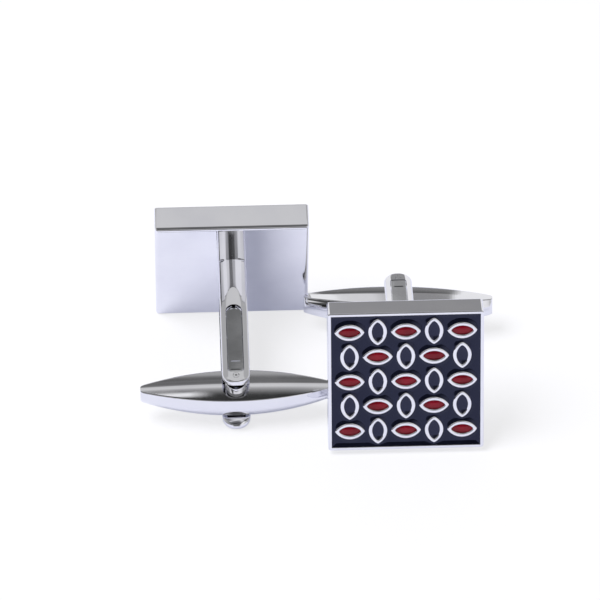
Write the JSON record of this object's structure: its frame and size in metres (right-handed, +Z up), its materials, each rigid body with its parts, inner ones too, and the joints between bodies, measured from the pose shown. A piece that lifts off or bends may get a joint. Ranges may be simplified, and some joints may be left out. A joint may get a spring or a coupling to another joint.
{
  "type": "pair of toggle-back cufflinks",
  "caption": "Square cufflinks with recessed enamel lens pattern, forked post and swivel toggle bar, standing as a pair on plate edge and post toe.",
  "frame": {"origin": "on the table, under the middle of the pair", "axes": "+Z up, +X from the left link to the right link, -Y towards the side that the right link's enamel faces"},
  "size_m": [0.0368, 0.0248, 0.0161],
  "materials": {
    "polished_plate": "bright plated, mirror polished",
    "polished_metal": "bright plated, mirror polished",
    "navy_enamel": "glossy filled enamel",
    "red_enamel": "glossy filled enamel",
    "solder": "plated solder, softly rounded",
    "spring_steel": "fine brushed"
  },
  "bodies": {
    "right_link": {"right_face_plate": "polished_plate", "right_ground_enamel": "navy_enamel", "right_red_cell_enamel": "red_enamel", "right_navy_cell_enamel": "navy_enamel", "right_post": "polished_metal", "right_solder_fillet": "solder", "right_detent_spring": "spring_steel", "right_pivot_pin": "polished_metal"},
    "right_toggle": {"right_toggle_bar": "polished_metal"},
    "left_link": {"left_face_plate": "polished_plate", "left_ground_enamel": "navy_enamel", "left_red_cell_enamel": "red_enamel", "left_navy_cell_enamel": "navy_enamel", "left_post": "polished_metal", "left_solder_fillet": "solder", "left_detent_spring": "spring_steel", "left_pivot_pin": "polished_metal"},
    "left_toggle": {"left_toggle_bar": "polished_metal"}
  },
  "joints": [
    {"name": "right_toggle_swing", "type": "hinge", "parent": "right_link", "child": "right_toggle", "pos_m": [0.00845, 0.0066, 0.00337], "axis": [-0.0088, 0.2472, 0.9689], "range_deg": [0, 94]},
    {"name": "left_link_lift", "type": "slide", "parent": "right_link", "child": "left_link", "axis": [-0.342, 0, 0.9397], "range_m": [0, 0.03]},
    {"name": "left_toggle_swing", "type": "hinge", "parent": "left_link", "child": "left_toggle", "pos_m": [-0.00845, -0.0066, 0.00337], "axis": [0.0088, -0.2472, 0.9689], "range_deg": [0, 90]}
  ]
}
